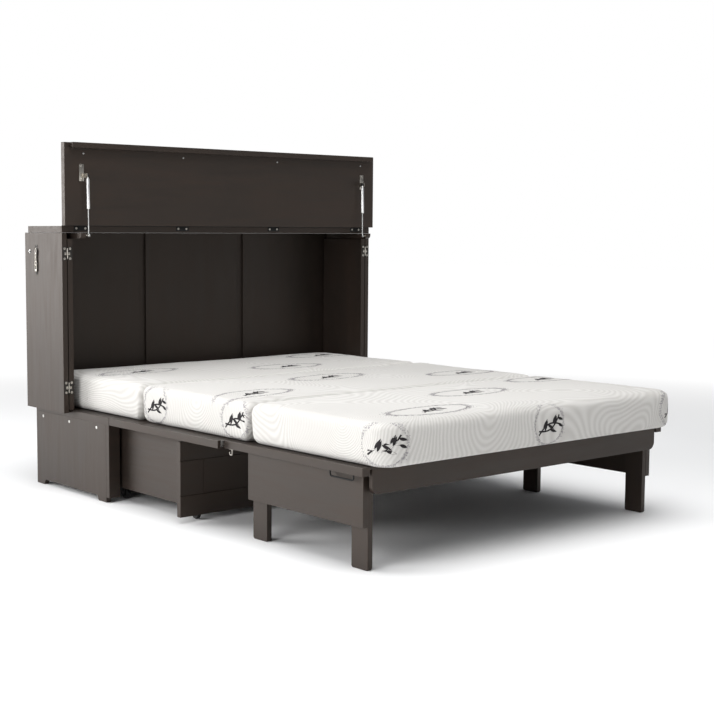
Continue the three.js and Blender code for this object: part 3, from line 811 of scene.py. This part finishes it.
def foam_block(low, high, corners):
    """A block with soft rims. corners gives the round of its upright edges at its rear and front."""
    mesh = bmesh.new()
    verts = bmesh.ops.create_cube(mesh, size=1)["verts"]
    bmesh.ops.scale(mesh, verts=verts, vec=high - low)
    bmesh.ops.translate(mesh, verts=verts, vec=(low + high) / 2)
    middle = (low + high) / 2

    def hard_edges(shortest_rise, highest_rise):
        return [e for e in mesh.edges if e.calc_face_angle(0) > 1
                and shortest_rise < abs(e.verts[0].co.z - e.verts[1].co.z) < highest_rise]

    for at_front, radius in ((False, corners[0]), (True, corners[1])):
        upright = [e for e in hard_edges(mm(50), 1) if (e.verts[0].co.y < middle.y) == at_front]
        bmesh.ops.bevel(mesh, geom=upright, offset=radius, segments=7, affect="EDGES", profile=ROUND_BEVEL)
    bmesh.ops.bevel(mesh, geom=hard_edges(-1, mm(1)), offset=RIM_ROUND, segments=5, affect="EDGES",
                    profile=ROUND_BEVEL)
    return mesh


def remeshed(piece, size):
    """Gives the piece an even mesh, so that it can swell."""
    modifier = piece.modifiers.new("remesh", "REMESH")
    modifier.mode = "VOXEL"
    modifier.voxel_size = size
    apply_modifiers(piece)


def apply_modifiers(piece):
    """Bakes a piece's modifiers into its mesh."""
    bpy.context.view_layer.update()
    evaluated = piece.evaluated_get(bpy.context.evaluated_depsgraph_get())
    mesh = bpy.data.meshes.new_from_object(evaluated)
    piece.modifiers.clear()
    piece.data = mesh


def swell(piece, pressure):
    """Inflates the cover a little by cloth simulation, each point by no more than the cap."""
    before = [v.co.copy() for v in piece.data.vertices]
    cloth = piece.modifiers.new("cloth", "CLOTH")
    cloth.settings.use_pressure = True
    cloth.settings.uniform_pressure_force = pressure
    cloth.settings.effector_weights.gravity = 0
    cloth.settings.quality = 3
    for number in range(1, FRAMES + 1):
        bpy.context.scene.frame_set(number)
    apply_modifiers(piece)
    for vertex, old in zip(piece.data.vertices, before):
        move = vertex.co - old
        if move.length > SWELL_CAP:
            vertex.co = old + move.normalized() * SWELL_CAP
    bpy.context.scene.frame_set(1)


def relaxed(piece, low, high, rear_seam, front_seam):
    """Crowns the top, rests the bottom flat, and opens a wedge under each seam."""
    middle, half = (low + high) / 2, (high - low) / 2
    height = high.z - low.z
    for vertex in piece.data.vertices:
        p = vertex.co
        across, along = (p.x - middle.x) / half.x, (p.y - middle.y) / half.y
        rise = min(max((p.z - low.z) / height, 0), 1)
        dome = (1 - min(abs(across), 1) ** 4) * (1 - min(abs(along), 1) ** 6)
        wave = math.sin(p.x * 9.1 + p.y * 3.3) + math.sin(p.y * 11.7 - p.x * 2.9)
        p.z += rise ** 3 * (CROWN * dome + WAVE * wave)
        bottom = (1 - rise) ** 1.6
        if rear_seam and along > 0:
            p.y -= SEAM_OPENING * bottom * along ** 8
        if front_seam and along < 0:
            p.y += SEAM_OPENING * bottom * along ** 8
        if rear_seam:
            p.y = min(p.y, high.y)
        if front_seam:
            p.y = max(p.y, low.y)
        p.z = max(p.z, low.z)


def leaf_outline(root, angle, length, width, count=7):
    """A pointed leaf in the plane: a loop of points from its root and back."""
    along = Vector((math.cos(angle), math.sin(angle)))
    across = Vector((-math.sin(angle), math.cos(angle)))
    edge = [(length * i / count, width * math.sin(math.pi * (i / count) ** 0.8)) for i in range(count + 1)]
    upper = [root + along * a + across * w for a, w in edge]
    lower = [root + along * a - across * w for a, w in edge[-2:0:-1]]
    return upper + lower


def ring_points(centre, radius, count=5):
    """A small round dot as a loop of points."""
    angles = [2 * math.pi * i / count for i in range(count)]
    return [centre + Vector((math.cos(a), math.sin(a))) * radius for a in angles]


def crosswise(start, end):
    """The line from start to end, turned a quarter to the left in the plane."""
    return Vector((-(end - start).y, (end - start).x))


def stem_outline(start, end, bow, width, count=9):
    """A thin curved stem as a loop of points."""
    line = [start.lerp(end, i / count) + crosswise(start, end) * bow * math.sin(math.pi * i / count)
            for i in range(count + 1)]
    normals = [crosswise(a, b).normalized() for a, b in zip(line, line[1:])]
    normals.append(normals[-1])
    left = [p + n * width for p, n in zip(line, normals)]
    right = [p - n * width for p, n in zip(line, normals)]
    return left + right[::-1]


LEAF_TURN = 0.75


def sprig(size):
    """Outlines of two bowed stems with four leaves each, in a plane, centred on the origin."""
    outlines = []
    for stem, (bow, lean) in enumerate(((0.18, 0.0), (-0.2, 0.5))):
        start = Vector((-0.30, -0.2 + 0.08 * stem)) * size
        end = Vector((0.34 * math.cos(lean), -0.02 + 0.4 * math.sin(lean))) * size
        outlines.append(stem_outline(start, end, bow, size * 0.016))
        for i in range(1, 5):
            t = i / 4.4
            root = start.lerp(end, t) + crosswise(start, end) * bow * math.sin(math.pi * t)
            heading = math.atan2((end - start).y, (end - start).x)
            turn = LEAF_TURN if i % 2 else -LEAF_TURN
            outlines.append(leaf_outline(root, heading + turn, size * (0.25 - 0.02 * i), size * 0.03))
    return outlines


def ring_dots(width, height, draw):
    """Stipple that is dense on an oval and thins out away from it."""
    outlines = []
    for _ in range(int(DOTS_PER_METRE * width)):
        angle = draw.uniform(0, 2 * math.pi)
        edge = 1 + 0.09 * abs(draw.gauss(0, 1))
        spot = Vector((width / 2 * edge * math.cos(angle), height / 2 * edge * math.sin(angle)))
        outlines.append(ring_points(spot, mm(draw.uniform(0.9, 2.0))))
    return outlines


def printed(piece, name, motifs, body, squash=None):
    """Prints stippled ovals with a sprig in each on a piece: (centre, right, up, width, height)."""
    tree = BVHTree.FromObject(piece, bpy.context.evaluated_depsgraph_get())
    draw = random.Random(name)
    rings, sprigs = Shape(), Shape()

    def stamp(shape, outline, centre, right, up):
        """Lays one outline on the cover, unless any point of it misses."""
        out = right.cross(up).normalized()
        top = []
        for point in outline:
            spot = centre + right * point.x + up * point.y
            hit = tree.ray_cast(spot + out * PRINT_RAY, -out)[0]
            if hit is None or (hit - spot).length > PRINT_REACH:
                return
            top.append(hit + out * PRINT_PROUD)
        shape.prism(top, -out * 2 * PRINT_PROUD)

    for centre, right, up, width, height in motifs:
        for outline in sprig(height * 1.3):
            stamp(sprigs, outline, centre, right, up)
        for outline in ring_dots(width, height, draw):
            stamp(rings, outline, centre, right, up)
    for shape, kind, material in ((rings, "stipple", PALE_INK), (sprigs, "sprigs", DARK_INK)):
        result = shape.piece(f"{name}_{kind}", material, body, "knit", smooth=None)
        if squash:
            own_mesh(result)


sections = {}
ROUND, SQUARE = mm(75), mm(14)
for section, corners, seams in (("head", (ROUND, SQUARE), (False, True)),
                                ("middle", (SQUARE, SQUARE), (True, True)),
                                ("foot", (SQUARE, ROUND), (True, False))):
    node = f"mattress_{section}"
    low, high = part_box(node)
    block = foam_block(low + X * COVER_SHRINK.x, high - COVER_SHRINK, corners)
    data = bpy.data.meshes.new(node + "_cover")
    block.to_mesh(data)
    block.free()
    cover = bpy.data.objects.new(node + "_cover", data)
    bpy.context.scene.collection.objects.link(cover)
    remeshed(cover, VOXEL)
    swell(cover, PRESSURE)
    relaxed(cover, low, high, *seams)
    smoother = cover.modifiers.new("subdivision", "SUBSURF")
    smoother.levels = smoother.render_levels = 1
    apply_modifiers(cover)
    cover.data.shade_smooth()
    cover.data.materials.clear()
    cover.data.materials.append(KNIT)
    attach(cover, node)
    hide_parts(node)
    sections[section] = cover

head_low, head_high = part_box("mattress_head")
mid_low, mid_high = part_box("mattress_middle")
foot_low, foot_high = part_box("mattress_foot")
head_squash = {"joint": "platform_fold", "axis": (0, 1, 0), "anchor": (0, head_high.y, 0), "keep": 0.75}
top_z = head_high.z
side_z = (head_low.z + head_high.z) / 2

TOP_SIZE, SIDE_SIZE = (mm(330), mm(130)), (mm(140), mm(134))
TOP_SPOTS = {"head": ((mm(-520), 0.45), (mm(110), 0.75), (mm(560), 0.3)),
             "middle": ((mm(-610), 0.75), (mm(-40), 0.4), (mm(520), 0.7)),
             "foot": ((mm(-430), 0.8), (mm(40), 0.42), (mm(600), 0.22))}
SIDE_SPOTS = {"head": (), "middle": (0.12, 0.85), "foot": ()}
CORNER_REACH = mm(26)
for section, low, high in (("head", head_low, head_high), ("middle", mid_low, mid_high),
                           ("foot", foot_low, foot_high)):
    cover = sections[section]
    squash = head_squash if section == "head" else None
    tops = [(Vector((x, high.y + (low.y - high.y) * share, top_z)), X, Y, *TOP_SIZE)
            for x, share in TOP_SPOTS[section]]
    printed(cover, f"{section}_top", tops, f"mattress_{section}", squash)
    flanks = []
    for side in (-1, 1):
        for share in SIDE_SPOTS[section]:
            centre = Vector((side * high.x, low.y + (high.y - low.y) * share, side_z))
            flanks.append((centre, Y * side, Z, *SIDE_SIZE))
    if section == "foot":
        flanks.append((Vector((mm(20), low.y, side_z)), X, Z, *SIDE_SIZE))
        for side in (-1, 1):
            centre = Vector((side * (high.x - CORNER_REACH), low.y + CORNER_REACH, side_z))
            flanks.append((centre, (X + Y * side).normalized(), Z, *SIDE_SIZE))
    if flanks:
        printed(cover, f"{section}_side", flanks, f"mattress_{section}", squash)
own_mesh(sections["head"])

# ---- studio -------------------------------------------------------------------------------

FLOOR_HALF = 30
FLOOR_TOP, FLOOR_UNDERSIDE = -0.0005, -0.02

floor_shape = Shape()
floor_shape.block((-FLOOR_HALF, -FLOOR_HALF, FLOOR_UNDERSIDE), (FLOOR_HALF, FLOOR_HALF, FLOOR_TOP), 0)
floor_mesh = bpy.data.meshes.new("floor")
floor_shape.mesh.to_mesh(floor_mesh)
floor_shape.mesh.free()
floor_mesh.materials.append(pale_floor())
floor = bpy.data.objects.new("floor", floor_mesh)
bpy.context.scene.collection.objects.link(floor)

SENSOR = 36
FOCAL_SHARE = 1332 / 714
YAW, PITCH, ROLL = 0.6867, 0.0933, 0.0029

camera_data = bpy.data.cameras.new("camera")
camera_data.sensor_width = SENSOR
camera_data.lens = SENSOR * FOCAL_SHARE
camera_data.shift_x = 0.09
camera_data.shift_y = 0.001
camera_data.clip_end = 200
camera = bpy.data.objects.new("camera", camera_data)
bpy.context.scene.collection.objects.link(camera)
rear = cad_bounds[1][1]
eye_point = Vector((-3.532, rear - 5.065, 1.067))
forward = Vector((math.sin(YAW) * math.cos(PITCH), math.cos(YAW) * math.cos(PITCH), -math.sin(PITCH)))
level = Vector((math.cos(YAW), -math.sin(YAW), 0))
right = Matrix.Rotation(-ROLL, 3, forward) @ level
above = right.cross(forward)
camera.matrix_world = Matrix.Translation(eye_point) @ Matrix((right, above, -forward)).transposed().to_4x4()
bpy.context.scene.camera = camera


def softbox(name, place, target, size, power):
    """A rectangular area light that faces a target."""
    data = bpy.data.lights.new(name, "AREA")
    data.shape = "RECTANGLE"
    data.size, data.size_y = size
    data.energy = power
    light = bpy.data.objects.new(name, data)
    light.location = place
    light.rotation_euler = (Vector(target) - Vector(place)).to_track_quat("-Z", "Y").to_euler()
    bpy.context.scene.collection.objects.link(light)


softbox("left_rear_softbox", (-4.6, 4.6, 1.9), (-0.3, 0, 0.6), size=(3.6, 3.2), power=300)
softbox("left_softbox", (-5.2, -1.4, 1.7), (0, -0.4, 0.3), size=(2.6, 2.6), power=125)
softbox("overhead", (-0.6, -1.0, 5.0), (0, -0.4, 0), size=(4.8, 4.8), power=290)

# The camera sees a white background, and the object is lit by a dim, faintly blue one.
world = bpy.data.worlds.new("studio")
bpy.context.scene.world = world
world.use_nodes = True
tree = world.node_tree
tree.nodes.clear()
seen, lit = (tree.nodes.new("ShaderNodeBackground") for _ in range(2))
seen.inputs["Color"].default_value = (1, 1, 1, 1)
lit.inputs["Color"].default_value = (0.95, 0.97, 1, 1)
lit.inputs["Strength"].default_value = 0.26
choice = tree.nodes.new("ShaderNodeMixShader")
path = tree.nodes.new("ShaderNodeLightPath")
output = tree.nodes.new("ShaderNodeOutputWorld")
tree.links.new(path.outputs["Is Camera Ray"], choice.inputs[0])
tree.links.new(lit.outputs[0], choice.inputs[1])
tree.links.new(seen.outputs[0], choice.inputs[2])
tree.links.new(choice.outputs[0], output.inputs["Surface"])
bpy.context.scene.view_settings.view_transform = "Standard"
